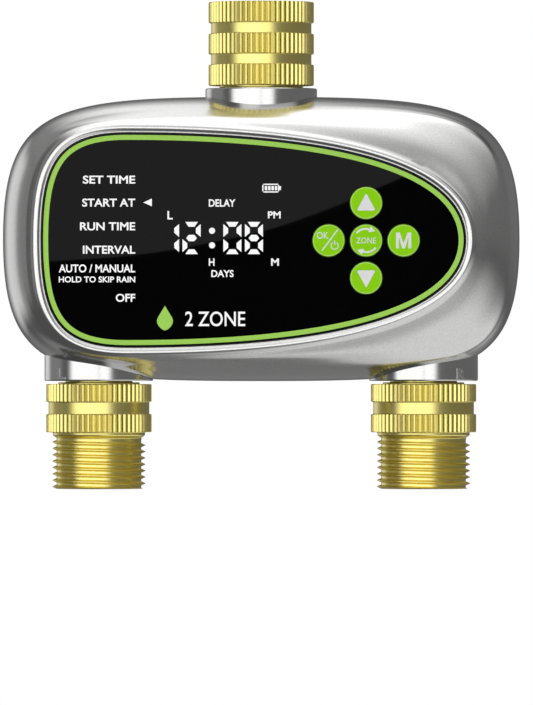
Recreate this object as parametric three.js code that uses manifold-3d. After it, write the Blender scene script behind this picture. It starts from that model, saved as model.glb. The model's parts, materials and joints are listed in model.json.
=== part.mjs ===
// Two-zone drip irrigation timer: it hangs from a tap by its inlet nut, opens two solenoid
// valves on a clock, and feeds two hoses from its lower outlets.
// Millimetres, +Z up, front panel towards -Y, +X to the right as seen from the front.
// The origin is on the inlet axis, in the top face of the inlet nut.

import * as THREE from 'three';
import { mergeVertices } from 'three/addons/utils/BufferGeometryUtils.js';
import Module from 'manifold-3d';

const wasm = await Module();
wasm.setup();

// ---------------------------------------------------------------- driving dimensions

const GAP = 0.3; // air between neighbouring pieces
const WALL = 2.4; // shell wall
const RING_POINTS = 44; // points round each shell ring
const FINE = 24; // sides of large turned pieces
const COARSE = 10; // sides of small turned pieces

const SHELL = { halfWidth: 73.6, halfHeight: 40.5, z: -67.45, split: 0.15, back: 31 };
const PANEL = { z: -68, crownX: -38, halfHeight: 29.9, right: 57.4, left: -61.8 };
const LENS = { front: -25, back: -23.6, margin: 0.6 };
const LEDGE = { front: -22.6, back: -21, reach: 2.6, clearance: 0.9 };
const LIP = { foot: 3.25, outer: 2.8, crown: 1.85, inner: 1, top: -26.5 };

const THREAD = { major: 13.22, minor: 12.06, pitch: 1.814 }; // G 3/4, radii
const INLET = { nutEnd: -24.3, neckTop: -24.6, neckRadius: 15.9, socketEnd: -36.8 };
const OUTLET = { x: 46.25, neckRadius: 15.5, neckEnd: -107.9, end: -138.6 };
const KNURL_RADIUS = 15;

const PIPE = { outer: 10, bore: 7.5, crossZ: -88.5, crossOuter: 7, crossBore: 5 };
const VALVE = { outer: 14, inner: 12.4, floor: -94, rim: -81, seat: -85, seatOuter: 8.5, seatBore: 6.5 };
const COIL = { top: -46, bottom: -69.5, outer: 12, bore: 5.5 };

const BUTTON = { x: 29.65, z: -68.15, pitch: 10.6, radius: 4.5, front: -25.9 };
const BOARD = { front: -14.8, back: -13.2 };
const BOARD_SCREWS = { left: [-24, -50], right: [24, -74] };
const SCREW_HOLE = { pilot: 1.6, boss: 2.7, head: 2.9, headBoss: 3.9, headSeat: 8.5 };
const HOUSING_SCREWS = {
  top_left: [-42, -38.5],
  top_right: [42, -38.5],
  bottom_left: [-63.4, -86],
  bottom_right: [63.4, -86],
};

const BAY = { halfWidth: 30.2, top: -39.4, bottom: -92.8, front: 12.7, wall: 1.3 };
const CELL = { radius: 7.25, length: 50.5, nub: 1, pitch: 14.9, y: 20.2 };
const DOOR = {
  halfWidth: 33, top: -38.7, topGap: 0.8, bottom: -101, inner: 28.6, seat: 27.2, screwZ: -96.4,
};
const GASKET = { halfWidth: 31.6, top: -38.5, bottom: -93.8, width: 0.8 };
const HINGE = { y: 29.3, z: -35.6, knuckle: 1.7, halfLength: 22, pin: 0.75, pinHalfLength: 27 };

const COLOURS = {
  silver: [0xb9bbbd, 0.32, 0.75],
  brass: [0xb08d3e, 0.28, 1],
  black: [0x060606, 0.08, 0],
  green: [0x86cf12, 0.4, 0],
  rubber: [0x161616, 0.85, 0],
  steel: [0xb4b6b8, 0.3, 1],
  nylon: [0xd8d8d2, 0.5, 0],
  winding: [0x8a4a24, 0.45, 0],
  board: [0x1f5a34, 0.55, 0],
  glass: [0x202622, 0.12, 0],
  jacket: [0x2b2f36, 0.35, 0.2],
  lead: [0x9a1f1c, 0.5, 0],
};

// ---------------------------------------------------------------- solids and joins

function toSolid(geometry) {
  const bare = geometry.clone();
  bare.deleteAttribute('normal');
  bare.deleteAttribute('uv');
  const merged = mergeVertices(bare);
  const mesh = new wasm.Mesh({
    numProp: 3,
    vertProperties: new Float32Array(merged.attributes.position.array),
    triVerts: new Uint32Array(merged.index.array),
  });
  return new wasm.Manifold(mesh);
}

function join(...geometries) {
  return geometries.map(toSolid).reduce((sum, solid) => sum.add(solid));
}

function cut(solid, ...geometries) {
  return geometries.map(toSolid).reduce((rest, tool) => rest.subtract(tool), solid);
}

function toGeometry(solid) {
  const mesh = solid.simplify(0.03).getMesh();
  const geometry = new THREE.BufferGeometry();
  geometry.setAttribute('position', new THREE.BufferAttribute(mesh.vertProperties, 3));
  geometry.setIndex(new THREE.BufferAttribute(mesh.triVerts, 1));
  return geometry;
}

// A profile of [radius, height] pairs, run so that the turned faces point outwards.
function orderedProfile(profile) {
  const closed = [...profile, profile[0]];
  let area = 0;
  for (let i = 0; i < profile.length; i += 1) {
    area += closed[i][0] * closed[i + 1][1] - closed[i + 1][0] * closed[i][1];
  }
  const ordered = area > 0 ? [...profile] : [...profile].reverse();
  const startsOnAxis = ordered.some(([radius]) => radius === 0);
  if (startsOnAxis) {
    while (!(ordered[0][0] === 0 && ordered.at(-1)[0] === 0)) ordered.push(ordered.shift());
  } else {
    ordered.push(ordered[0]);
  }
  return ordered.map(([radius, height]) => new THREE.Vector2(radius, height));
}

function turnedY(profile, x = 0, z = 0, sides = COARSE) {
  return new THREE.LatheGeometry(orderedProfile(profile), sides).translate(x, 0, z);
}

function turnedZ(profile, x = 0, sides = FINE) {
  return new THREE.LatheGeometry(orderedProfile(profile), sides).rotateX(Math.PI / 2).translate(x, 0, 0);
}

function diskProfile(radius, low, high) {
  return [[0, low], [radius, low], [radius, high], [0, high]];
}

function rodY(radius, x, z, low, high, sides = COARSE) {
  return turnedY(diskProfile(radius, low, high), x, z, sides);
}

function rodZ(radius, x, low, high, sides = FINE) {
  return turnedZ(diskProfile(radius, low, high), x, sides);
}

function rodX(radius, halfLength, y, z, sides = COARSE) {
  const rod = new THREE.CylinderGeometry(radius, radius, 2 * halfLength, sides);
  return rod.rotateZ(Math.PI / 2).translate(0, y, z);
}

function box([x0, x1], [y0, y1], [z0, z1]) {
  const block = new THREE.BoxGeometry(x1 - x0, y1 - y0, z1 - z0);
  return block.translate((x0 + x1) / 2, (y0 + y1) / 2, (z0 + z1) / 2);
}

// A flat shape drawn in X and Z, as thick as from one Y to the other.
function plate(shape, low, high, curveSegments = 6) {
  const slab = new THREE.ExtrudeGeometry(shape, { depth: high - low, bevelEnabled: false, curveSegments });
  return slab.rotateX(Math.PI / 2).translate(0, high, 0);
}

function roundedRectangle(halfWidth, bottom, top, radius) {
  const shape = new THREE.Shape();
  const quarter = Math.PI / 2;
  shape.absarc(halfWidth - radius, top - radius, radius, 0, quarter);
  shape.absarc(radius - halfWidth, top - radius, radius, quarter, 2 * quarter);
  shape.absarc(radius - halfWidth, bottom + radius, radius, 2 * quarter, 3 * quarter);
  shape.absarc(halfWidth - radius, bottom + radius, radius, 3 * quarter, 4 * quarter);
  return shape;
}

function tube(points, radius, steps, sides = 6) {
  const extrudePath = new THREE.CatmullRomCurve3(points.map((point) => new THREE.Vector3(...point)));
  const section = new THREE.Shape();
  section.absarc(0, 0, radius, 0, 2 * Math.PI);
  return new THREE.ExtrudeGeometry(section, { steps, extrudePath, curveSegments: sides / 2 });
}

// ---------------------------------------------------------------- shell curves and rings

// The case seen from the front: four equal quarters, nearly flat above and below.
function shellShape() {
  const { halfWidth: a, halfHeight: b, z } = SHELL;
  const shape = new THREE.Shape();
  shape.moveTo(a, z);
  shape.bezierCurveTo(a, z + 0.955 * b, 0.795 * a, z + b, 0, z + b);
  shape.bezierCurveTo(-0.795 * a, z + b, -a, z + 0.955 * b, -a, z);
  shape.bezierCurveTo(-a, z - 0.955 * b, -0.795 * a, z - b, 0, z - b);
  shape.bezierCurveTo(0.795 * a, z - b, a, z - 0.955 * b, a, z);
  return shape;
}

// The front panel: a teardrop with its blunt end on the left.
function panelShape() {
  const { z, crownX, halfHeight: h, right, left } = PANEL;
  const shape = new THREE.Shape();
  shape.moveTo(right, z);
  shape.bezierCurveTo(right, z + 18.3, crownX + 66.4, z + h, crownX, z + h);
  shape.bezierCurveTo(crownX - 19.2, z + h, left, z + 21.6, left, z);
  shape.bezierCurveTo(left, z - 21.6, crownX - 19.2, z - h, crownX, z - h);
  shape.bezierCurveTo(crownX + 66.4, z - h, right, z - 18.3, right, z);
  return shape;
}

// Points of a closed curve on rays from the case centre, closest together at the case's
// corners, each moved outwards by an offset along the curve's normal.
function ring(shape, offset, count = RING_POINTS) {
  const centre = new THREE.Vector2(0, SHELL.z);
  const dense = shape.getPoints(120).map((point) => point.clone().sub(centre));
  const points = [];
  for (let i = 0; i < count; i += 1) {
    const angle = (2 * Math.PI * i) / count;
    const ray = new THREE.Vector2(SHELL.halfWidth * Math.cos(angle), SHELL.halfHeight * Math.sin(angle));
    const k = dense.findIndex((point, index) => {
      const next = dense[(index + 1) % dense.length];
      return ray.cross(point) <= 0 && ray.cross(next) > 0 && ray.dot(next) > 0;
    });
    const start = dense[k];
    const side = dense[(k + 1) % dense.length].clone().sub(start);
    const along = ray.cross(start) / (ray.cross(start) - ray.cross(start.clone().add(side)));
    const normal = new THREE.Vector2(side.y, -side.x).normalize();
    const base = start.clone().addScaledVector(side, along);
    points.push(base.addScaledVector(normal, offset).add(centre));
  }
  return points;
}

function mixedRing(outer, inner, share) {
  return outer.map((point, i) => point.clone().lerp(inner[i], share));
}

// A closed solid through a stack of rings that starts at the back and ends at the front.
function loft(layers) {
  const count = layers[0].points.length;
  const positions = [];
  const index = [];
  for (const { points, y } of layers) {
    for (const point of points) positions.push(point.x, y, point.y);
  }
  for (let layer = 0; layer + 1 < layers.length; layer += 1) {
    for (let i = 0; i < count; i += 1) {
      const next = (i + 1) % count;
      const a = layer * count + i;
      const b = layer * count + next;
      index.push(a, b, b + count, a, b + count, a + count);
    }
  }
  const backCentre = positions.length / 3;
  positions.push(0, layers[0].y, SHELL.z);
  const frontCentre = backCentre + 1;
  positions.push(0, layers.at(-1).y, SHELL.z);
  const front = (layers.length - 1) * count;
  for (let i = 0; i < count; i += 1) {
    const next = (i + 1) % count;
    index.push(backCentre, next, i);
    index.push(frontCentre, front + i, front + next);
  }
  const geometry = new THREE.BufferGeometry();
  geometry.setAttribute('position', new THREE.Float32BufferAttribute(positions, 3));
  geometry.setIndex(index);
  return geometry;
}

function panelOutline(offset) {
  return new THREE.Shape(ring(panelShape(), offset));
}

// ---------------------------------------------------------------- case

// Outside of the front half: a rounded wall, a shallow dome, and a raised lip round the panel.
function frontHull() {
  const shell = shellShape();
  const panel = panelShape();
  const shoulder = ring(shell, -3.5);
  const lipFoot = ring(panel, LIP.foot);
  return loft([
    { y: -SHELL.split, points: ring(shell, 0) },
    { y: -5, points: ring(shell, -0.25) },
    { y: -10, points: ring(shell, -0.9) },
    { y: -15, points: ring(shell, -2.15) },
    { y: -18.5, points: shoulder },
    { y: -21.5, points: mixedRing(shoulder, lipFoot, 0.3) },
    { y: -24.2, points: mixedRing(shoulder, lipFoot, 0.65) },
    { y: LIP.top + 0.9, points: lipFoot },
    { y: LIP.top + 0.35, points: ring(panel, LIP.outer) },
    { y: LIP.top, points: ring(panel, LIP.crown) },
    { y: LIP.top + 0.35, points: ring(panel, LIP.inner) },
  ]);
}

function frontHollow() {
  const shell = shellShape();
  const inner = ring(shell, -6.6);
  const ceiling = ring(panelShape(), 3.6);
  return loft([
    { y: 1, points: ring(shell, -WALL) },
    { y: -6, points: ring(shell, -0.35 - WALL) },
    { y: -12, points: ring(shell, -1.4 - WALL) },
    { y: -16.5, points: inner },
    { y: -19.2, points: mixedRing(inner, ceiling, 0.5) },
    { y: LEDGE.back, points: ceiling },
  ]);
}

function frontCover() {
  const hull = toSolid(frontHull());
  const { boss, pilot } = SCREW_HOLE;
  const bosses = Object.values(HOUSING_SCREWS).map(([x, z]) => rodY(boss, x, z, -22, -SHELL.split));
  const pilots = Object.values(HOUSING_SCREWS).map(([x, z]) => rodY(pilot, x, z, -14, 1));
  const shell = cut(hull, frontHollow()).add(join(...bosses).intersect(hull));
  return toGeometry(cut(
    shell,
    ...pilots,
    plate(panelOutline(LEDGE.clearance), -30, LEDGE.front),
    plate(panelOutline(-LEDGE.reach), -30, -15),
    rodZ(INLET.neckRadius + GAP, 0, -38, -20),
    rodZ(OUTLET.neckRadius + GAP, -OUTLET.x, -112, -92),
    rodZ(OUTLET.neckRadius + GAP, OUTLET.x, -112, -92),
  ));
}

function rearHull() {
  const shell = shellShape();
  return loft([
    { y: SHELL.back, points: ring(shell, -6.2) },
    { y: 30.3, points: ring(shell, -4.9) },
    { y: 28.5, points: ring(shell, -3.6) },
    { y: 25, points: ring(shell, -2.2) },
    { y: 20, points: ring(shell, -1) },
    { y: 12, points: ring(shell, -0.3) },
    { y: SHELL.split, points: ring(shell, 0) },
  ]);
}

function rearHollow() {
  const shell = shellShape();
  return loft([
    { y: SHELL.back - WALL, points: ring(shell, -8.2) },
    { y: 27, points: ring(shell, -6.4) },
    { y: 23.5, points: ring(shell, -4.9) },
    { y: 12, points: ring(shell, -0.3 - WALL) },
    { y: -1, points: ring(shell, -WALL) },
  ]);
}

function inletNeck() {
  const { neckTop, neckRadius } = INLET;
  return turnedZ([
    [0, -31], [neckRadius, -31], [neckRadius, neckTop - 0.5], [neckRadius - 0.5, neckTop], [0, neckTop],
  ]);
}

function outletNeck(x) {
  const { neckEnd, neckRadius } = OUTLET;
  return turnedZ([
    [0, neckEnd], [neckRadius - 0.5, neckEnd], [neckRadius, neckEnd + 0.5], [neckRadius, -98], [0, -98],
  ], x);
}

// Solid parts inside the rear half: door frame, battery box, screw bosses and board posts.
function rearFittings() {
  const bosses = Object.values(HOUSING_SCREWS).flatMap(([x, z]) => [
    rodY(SCREW_HOLE.headBoss, x, z, SCREW_HOLE.headSeat - 3, 30),
    rodY(SCREW_HOLE.boss, x, z, SHELL.split, 6),
  ]);
  const posts = Object.values(BOARD_SCREWS).map(([x, z]) => rodY(3, x, z, BOARD.back + GAP, 12));
  const side = BAY.halfWidth + 1.4;
  return [
    box([-35, 35], [DOOR.seat - BAY.wall, SHELL.back], [-103.5, -31.5]),
    box([-side, side], [BAY.front - BAY.wall, DOOR.seat], [BAY.bottom - 1.2, BAY.top + 1.2]),
    rodY(3.8, 0, DOOR.screwZ, 20, DOOR.seat),
    ...bosses,
    ...posts,
  ];
}

function rearOpenings() {
  const pocket = roundedRectangle(DOOR.halfWidth + 0.4, DOOR.bottom - 0.4, DOOR.top + DOOR.topGap, 3.4);
  const slot = HINGE.halfLength + 0.4;
  const cups = [-OUTLET.x, OUTLET.x].flatMap((x) => [
    rodZ(13, x, -106.3, -97),
    rodZ(9.9, x, -109, -106),
  ]);
  const screws = Object.values(HOUSING_SCREWS).flatMap(([x, z]) => [
    rodY(SCREW_HOLE.head, x, z, SCREW_HOLE.headSeat, 32),
    rodY(SCREW_HOLE.pilot, x, z, -1, 9),
  ]);
  const pilots = Object.values(BOARD_SCREWS).map(([x, z]) => rodY(1.5, x, z, -14, -5));
  return [
    plate(pocket, DOOR.seat, 32),
    box([-BAY.halfWidth, BAY.halfWidth], [BAY.front, 32], [BAY.bottom, BAY.top]),
    rodX(HINGE.knuckle + 0.6, slot, HINGE.y, HINGE.z),
    box([-slot, slot], [DOOR.seat, 32], [-38.5, HINGE.z]),
    box([-slot, slot], [HINGE.y, 32], [-38.5, -32.9]),
    rodX(HINGE.pin + 0.25, HINGE.pinHalfLength + GAP, HINGE.y, HINGE.z),
    rodY(2.4, 0, DOOR.screwZ, 21, 28),
    rodY(2, -CELL.pitch, -46, 10, 14),
    rodZ(13.5, 0, -32, -27),
    rodZ(10.9, 0, -28, -24),
    ...cups,
    ...screws,
    ...pilots,
  ];
}

function rearCover() {
  const hull = toSolid(rearHull());
  const fittings = join(...rearFittings());
  const inside = fittings.intersect(hull).add(fittings.intersect(toSolid(rearHollow())));
  const necks = join(inletNeck(), outletNeck(-OUTLET.x), outletNeck(OUTLET.x));
  const frontPosts = fittings.intersect(toSolid(box([-40, 40], [-13, 1], [-80, -44])));
  const shell = cut(hull, rearHollow()).add(inside).add(necks).add(frontPosts);
  return toGeometry(cut(shell, ...rearOpenings()));
}

// ---------------------------------------------------------------- front panel

function panelLens() {
  const holes = Object.values(buttonPlaces()).map(([x, z]) => rodY(BUTTON.radius + 0.25, x, z, -27, -22));
  return toGeometry(cut(toSolid(plate(panelOutline(LENS.margin), LENS.front, LENS.back)), ...holes));
}

function panelSeal() {
  const outer = toSolid(plate(panelOutline(0.5), LENS.back + GAP, LEDGE.front - GAP));
  return toGeometry(cut(outer, plate(panelOutline(-2.2), -24, -22)));
}

function buttonPlaces() {
  const { x, z, pitch } = BUTTON;
  return {
    up: [x, z + pitch],
    down: [x, z - pitch],
    ok: [x - pitch, z],
    zone: [x, z],
    manual: [x + pitch, z],
  };
}

// A key cap with a flange behind the lens and a stem that presses the mat.
function button([x, z]) {
  const { front, radius } = BUTTON;
  const flange = LENS.back + GAP;
  return turnedY([
    [0, front], [radius - 0.5, front], [radius, front + 0.5], [radius, flange], [5.1, flange],
    [5.1, flange + 0.8], [1.5, flange + 0.8], [1.5, -21.2], [0, -21.2],
  ], x, z);
}

function keypadMat() {
  const collar = [[3.2, -21.4], [4.2, -21.4], [4.2, -20], [3.2, -20]];
  const collars = Object.values(buttonPlaces()).map(([x, z]) => turnedY(collar, x, z));
  return toGeometry(join(rodY(17, BUTTON.x, BUTTON.z, -20.1, -19.3, FINE), ...collars));
}

function tactSwitch([x, z]) {
  const body = box([x - 3, x + 3], [-18.3, BOARD.front - GAP], [z - 3, z + 3]);
  return toGeometry(join(body, rodY(1.7, x, z, -19, -18)));
}

function displayModule() {
  const legs = [-33.5, 6.5].flatMap((x) => [-50.5, -79.5].map((z) => (
    box([x - 1, x + 1], [-20, BOARD.front - GAP], [z - 1, z + 1])
  )));
  const frame = box([-34.5, 7.5], [-21, -19.2], [-80.5, -49.5]);
  const glass = box([-33.6, 6.6], [-22.2, -20.5], [-79.6, -50.4]);
  return toGeometry(join(frame, glass, ...legs));
}

function controlBoard() {
  const shape = new THREE.Shape();
  shape.moveTo(-36, -84);
  shape.lineTo(35.5, -84);
  shape.lineTo(35.5, -73.6);
  shape.lineTo(48, -73.6);
  shape.lineTo(48, -46);
  shape.lineTo(-36, -46);
  for (const [x, z] of Object.values(BOARD_SCREWS)) {
    shape.holes.push(new THREE.Path().absarc(x, z, 1.6, 0, 2 * Math.PI, true));
  }
  return plate(shape, BOARD.front, BOARD.back);
}

function boardScrew([x, z]) {
  const head = BOARD.front - GAP;
  return turnedY([[0, head - 1.9], [2.2, head - 1.9], [2.6, head - 1.3], [2.6, head], [1.2, head],
    [1.2, -6.5], [0, -6.5]], x, z);
}

function housingScrew([x, z]) {
  return turnedY([[0, -12], [1.3, -12], [1.3, 8.8], [2.6, 8.8], [2.6, 10.2], [1.9, 10.8], [0, 10.8]], x, z);
}

// ---------------------------------------------------------------- battery box

function batteryDoor() {
  const face = roundedRectangle(DOOR.halfWidth, DOOR.bottom, DOOR.top, 3);
  const web = box([-HINGE.halfLength, HINGE.halfLength], [DOOR.inner, SHELL.back], [DOOR.top - 4, HINGE.z]);
  const body = join(
    plate(face, DOOR.inner, SHELL.back),
    web,
    rodX(HINGE.knuckle, HINGE.halfLength, HINGE.y, HINGE.z),
  );
  return toGeometry(cut(
    body,
    rodX(HINGE.pin + 0.25, HINGE.halfLength + 1, HINGE.y, HINGE.z),
    rodY(3.9, 0, DOOR.screwZ, 29.4, 32),
    rodY(2.2, 0, DOOR.screwZ, 28, 32),
  ));
}

function batteryDoorGasket() {
  const { halfWidth, top, bottom, width } = GASKET;
  const outer = roundedRectangle(halfWidth, bottom, top, 1.5);
  const inner = roundedRectangle(halfWidth - width, bottom + width, top - width, 0.7);
  const ringSolid = toSolid(plate(outer, DOOR.seat + GAP, DOOR.inner - GAP));
  return toGeometry(cut(ringSolid, plate(inner, DOOR.seat, DOOR.inner)));
}

function batteryDoorScrew() {
  const head = turnedY([[0, 22.5], [1.4, 22.5], [1.9, 23], [1.9, 29.7], [3.6, 29.7], [3.6, 30.7],
    [3.2, 31], [0, 31]], 0, DOOR.screwZ);
  const slot = box([-4, 4], [30.2, 32], [DOOR.screwZ - 0.5, DOOR.screwZ + 0.5]);
  return toGeometry(cut(toSolid(head), slot));
}

// Cells stand side by side, every second one upside down.
function cell(number) {
  const x = cellX(number);
  const { radius, length, nub, y } = CELL;
  const profile = [[0, 0], [radius - 0.4, 0], [radius, 0.4], [radius, length - nub - 0.4],
    [radius - 0.4, length - nub], [2.75, length - nub], [2.75, length], [0, length]];
  const geometry = turnedZ(profile, 0, COARSE);
  if (number % 2 === 0) geometry.rotateX(Math.PI).translate(0, 0, BAY.top - 1.9);
  else geometry.translate(0, 0, BAY.top - 1 - length);
  return geometry.translate(x, y, 0);
}

function cellX(number) {
  return (number - 2.5) * CELL.pitch;
}

// A flat contact across one or two cells, with a spiral spring on the cell's flat end.
function contact(firstCell, lastCell, atTop, springCell) {
  const plateTop = atTop ? BAY.top - GAP : BAY.bottom + GAP + 0.4;
  const strip = box(
    [cellX(firstCell) - 5.5, cellX(lastCell) + 5.5],
    [CELL.y - 5, CELL.y + 5],
    [plateTop - 0.4, plateTop],
  );
  if (springCell === null) return strip;
  const turns = 2.25;
  const wire = 0.3;
  const height = atTop ? -0.55 : 0.55;
  const start = atTop ? plateTop - 0.4 - wire + 0.05 : plateTop + wire - 0.05;
  const spiral = Array.from({ length: 21 }, (_, i) => {
    const share = i / 20;
    const angle = 2 * Math.PI * turns * share;
    const radius = 4.8 - 2.8 * share;
    const x = cellX(springCell) + radius * Math.cos(angle);
    return [x, CELL.y + radius * Math.sin(angle), start + height * share];
  });
  return toGeometry(join(strip, tube(spiral, wire, 20, 4)));
}

// ---------------------------------------------------------------- inlet

// Hand nut: three knurled bands, a threaded mouth and a lip that draws the tailpiece up.
function inletNut() {
  const r = KNURL_RADIUS;
  const groove = 14.3;
  return turnedZ([
    [13.4, 0], [r - 0.5, 0], [r, -0.5], [r, -5.6], [groove, -6.1], [groove, -8.9], [r, -9.4],
    [r, -14.5], [groove, -15], [groove, -17.7], [r, -18.2], [r, -23.4], [r - 0.5, -23.8],
    [12, -23.8], [12, INLET.nutEnd], [10.9, INLET.nutEnd], [10.9, -20], [13.2, -20], [13.2, -13],
    [THREAD.minor + 0.04, -13], [THREAD.minor + 0.04, -1.2],
  ], 0, 30);
}

function inletTailpiece() {
  return turnedZ([
    [8, -36.5], [10.2, -36.5], [10.5, -36.2], [10.5, -33.4], [9.4, -33.4], [9.4, -31.6], [10.5, -31.6],
    [10.5, -19.6], [12.7, -19.6], [12.7, -16.3], [8, -16.3],
  ]);
}

function inletOring() {
  return new THREE.TorusGeometry(10.1, 0.55, 6, 24).translate(0, 0, -32.5);
}

function filterWasher() {
  const disk = turnedZ([[8.5, -16], [12.7, -16], [12.7, -13.3], [8.5, -13.3]]);
  const tabs = [0.4, 1.97, 3.54, 5.11].map((angle) => (
    box([12, 13], [-0.8, 0.8], [-15.4, -14]).rotateZ(angle)
  ));
  return toGeometry(join(disk, ...tabs));
}

// A dome of wire cloth that stands up into the tap's mouth.
function filterMesh() {
  const steps = 5;
  const dome = (radius, height) => Array.from({ length: steps }, (_, i) => {
    const angle = (Math.PI / 2) * (i / (steps - 1));
    const r = i === steps - 1 ? 0 : radius * Math.cos(angle);
    return [r, -13.2 + height * Math.sin(angle)];
  });
  return turnedZ([[8.2, -15.6], ...dome(8.2, 6.2), ...dome(7.6, 5.6).reverse(), [7.6, -15.6]], 0, 20);
}

// ---------------------------------------------------------------- valves

// One moulding: inlet socket, down pipe, cross pipe, two valve chambers and their outlet ports.
function manifold() {
  const socket = turnedZ([
    [0, -92], [PIPE.outer, -92], [PIPE.outer, -38], [13, -37], [13, -27.5], [0, -27.5],
  ]);
  const crossPipe = rodX(PIPE.crossOuter, 40, 0, PIPE.crossZ, 20);
  const chambers = [-OUTLET.x, OUTLET.x].flatMap((x) => [
    rodZ(VALVE.outer, x, -96, VALVE.rim),
    rodZ(12.6, x, -106, -95),
  ]);
  const moats = [-OUTLET.x, OUTLET.x].flatMap((x) => [
    turnedZ([
      [VALVE.seatOuter, VALVE.floor], [VALVE.inner, VALVE.floor], [VALVE.inner, -80],
      [VALVE.seatOuter, -80],
    ], x),
    rodZ(VALVE.seatOuter + 0.5, x, VALVE.seat, -79),
    rodZ(VALVE.seatBore, x, -98, -80),
    rodZ(9.8, x, -107, -97.5),
  ]);
  return toGeometry(cut(
    join(socket, crossPipe, ...chambers),
    rodZ(10.8, 0, INLET.socketEnd, -26),
    rodZ(PIPE.bore, 0, PIPE.crossZ, -30),
    rodX(PIPE.crossBore, 36, 0, PIPE.crossZ, 16),
    ...moats,
  ));
}

// A dished rubber disk: clamped at its rim, held at its middle between poppet and cap.
function diaphragm(x) {
  return turnedZ([
    [2.4, -83.1], [9.8, -83.1], [12.2, -80.7], [13.8, -80.7], [13.8, -79.2], [11.8, -79.2],
    [9.4, -81.6], [2.4, -81.6],
  ], x, 20);
}

function poppet(x) {
  return turnedZ([
    [0, -84.7], [9.3, -84.7], [9.3, -83.4], [2, -83.4], [2, -81.3], [5, -81.3], [5, -79.9], [0, -79.9],
  ], x, 20);
}

// Screwed cap over the chamber, with the tube that guides the plunger.
function bonnet(x) {
  return turnedZ([
    [11, -78.9], [14.6, -78.9], [14.6, -74.5], [10, -74.5], [8, -70], [5.2, -70], [5.2, -46.5],
    [0, -46.5], [0, -48], [3.9, -48], [3.9, -75], [11, -75],
  ], x, 20);
}

function solenoidCoil(x) {
  const { top, bottom, outer, bore } = COIL;
  return turnedZ([
    [bore, bottom], [outer, bottom], [outer, bottom + 1.5], [outer - 0.8, bottom + 1.5],
    [outer - 0.8, top - 1.5], [outer, top - 1.5], [outer, top], [bore, top],
  ], x, 20);
}

function plunger(x) {
  return turnedZ([[0, -79.6], [3, -79.6], [3.6, -79], [3.6, -56.4], [3.2, -56], [0, -56]], x, COARSE);
}

function plungerSpring(x) {
  const turns = 4;
  const steps = 32;
  const wire = 0.35;
  const [low, high] = [-55.7 + wire, -48.3 - wire];
  const helix = Array.from({ length: steps + 1 }, (_, i) => {
    const angle = (2 * Math.PI * turns * i) / steps;
    return [x + 2.7 * Math.cos(angle), 2.7 * Math.sin(angle), low + ((high - low) * i) / steps];
  });
  return tube(helix, wire, steps, 4);
}

// ---------------------------------------------------------------- outlets

function threadCrests(top, bottom) {
  const crests = [];
  for (let z = top; z - THREAD.pitch > bottom; z -= THREAD.pitch) {
    crests.push([THREAD.minor, z], [THREAD.major, z - THREAD.pitch / 2]);
  }
  return crests;
}

// Brass adapter: a stub in the outlet port, two knurled bands and a male hose thread.
function outletAdapter(x) {
  const r = KNURL_RADIUS;
  const { end } = OUTLET;
  return turnedZ([
    [6.5, -98.3], [9.2, -98.3], [9.5, -98.6], [9.5, -108.2], [11.55, -108.2], [11.55, -108.9],
    [r - 0.5, -108.9], [r, -109.3], [r, -113.6], [14.35, -114], [14.35, -117.2], [r, -117.6],
    [r, -122.1], [r - 0.5, -122.5], [13.15, -122.5], [13.15, -123.5],
    ...threadCrests(-123.6, end + 0.4), [THREAD.minor, end + 0.3], [THREAD.minor - 0.2, end],
    [9, end], [9, -112], [6.5, -110],
  ], x, 20);
}

// ---------------------------------------------------------------- leads

function solenoidLead(side) {
  return tube([
    [side * 42, -8, -45.5],
    [side * 41, -8.6, -43.6],
    [side * 38, -9.6, -43],
    [side * 33.5, -10.8, -44.5],
    [side * 31, -11.6, -48],
    [side * 30.5, -12, -52],
  ], 0.8, 14);
}

function batteryLead() {
  return tube([
    [-14.9, 14.2, -41.6],
    [-14.9, 13.9, -44.2],
    [-14.9, 12, -46],
    [-14.9, 8.5, -46.6],
    [-15.5, 0, -49],
    [-16, -8, -53],
    [-16, -11.8, -57.5],
  ], 0.8, 20);
}

// ---------------------------------------------------------------- assembly

const timer = new THREE.Group();

function place(name, colour, geometry) {
  const [color, roughness, metalness] = COLOURS[colour];
  const mesh = new THREE.Mesh(geometry, new THREE.MeshStandardMaterial({ color, roughness, metalness }));
  mesh.name = name;
  timer.add(mesh);
}

place('front_cover', 'silver', frontCover());
place('rear_cover', 'silver', rearCover());
for (const [name, spot] of Object.entries(HOUSING_SCREWS)) {
  place(`housing_screw_${name}`, 'steel', housingScrew(spot));
}

place('panel_lens', 'black', panelLens());
place('panel_seal', 'rubber', panelSeal());
place('keypad_mat', 'rubber', keypadMat());
for (const [name, spot] of Object.entries(buttonPlaces())) {
  place(`button_${name}`, 'green', button(spot));
  place(`switch_${name}`, 'steel', tactSwitch(spot));
}
place('display_module', 'glass', displayModule());
place('control_board', 'board', controlBoard());
for (const [name, spot] of Object.entries(BOARD_SCREWS)) {
  place(`board_screw_${name}`, 'steel', boardScrew(spot));
}

place('battery_door', 'silver', batteryDoor());
place('battery_door_gasket', 'rubber', batteryDoorGasket());
place('battery_door_pin', 'steel', rodX(HINGE.pin, HINGE.pinHalfLength, HINGE.y, HINGE.z));
place('battery_door_screw', 'steel', batteryDoorScrew());
for (const number of [1, 2, 3, 4]) place(`battery_${number}`, 'jacket', cell(number));
place('contact_positive', 'steel', contact(1, 1, true, null));
place('contact_negative', 'steel', contact(4, 4, true, 4));
place('contact_link_top', 'steel', contact(2, 3, true, 2));
place('contact_link_bottom_left', 'steel', contact(1, 2, false, 1));
place('contact_link_bottom_right', 'steel', contact(3, 4, false, 3));
place('battery_lead', 'lead', batteryLead());

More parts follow.
